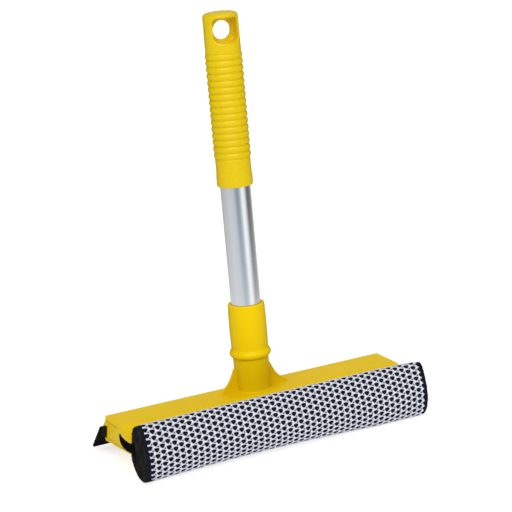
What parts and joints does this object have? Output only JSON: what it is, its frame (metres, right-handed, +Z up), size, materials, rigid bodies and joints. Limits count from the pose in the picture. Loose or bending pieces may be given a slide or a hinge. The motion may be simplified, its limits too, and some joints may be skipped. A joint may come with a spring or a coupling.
{
  "type": "window squeegee",
  "caption": "Window squeegee with a rubber wiping blade behind and a netted foam scrubbing pad in front of a moulded head, on a screw-in aluminium handle with a ribbed grip.",
  "frame": {"origin": "on the surface the tool stands on, below the centre of its bounding box", "axes": "+Z up the handle, X along the head, +Y towards the rubber blade, -Y towards the foam pad"},
  "size_m": [0.264, 0.1158, 0.3553],
  "materials": {
    "head_plastic": "satin",
    "blade_rubber": "satin",
    "pad_foam": "matte",
    "strip_rubber": "matte",
    "netting": "matte",
    "ferrule_plastic": "satin",
    "tube_aluminium": "satin",
    "grip_plastic": "satin"
  },
  "bodies": {
    "head": {"head": "head_plastic"},
    "blade": {"blade": "blade_rubber"},
    "pad": {"pad_foam": "pad_foam", "pad_strip": "strip_rubber", "pad_net": "netting"},
    "handle_lift": {"tube": "tube_aluminium"},
    "handle": {"ferrule": "ferrule_plastic", "grip": "grip_plastic"}
  },
  "joints": [
    {"name": "blade_slide", "type": "slide", "parent": "head", "child": "blade", "axis": [1, 0, 0], "range_m": [-0.262, 0.262]},
    {"name": "pad_slide", "type": "slide", "parent": "head", "child": "pad", "axis": [1, 0, 0], "range_m": [-0.26, 0.26]},
    {"name": "handle_rise", "type": "slide", "parent": "head", "child": "handle_lift", "axis": [0, 0, 1], "range_m": [0, 0.0228]},
    {"name": "handle_turn", "type": "hinge", "parent": "handle_lift", "child": "handle", "pos_m": [0, 0.012, 0.0649], "axis": [0, 0, 1], "range_deg": [0, 1620]}
  ],
  "couplings": [
    {"joint": "handle_rise", "follows": "handle_turn", "m_per_rad": 0.00079577}
  ]
}
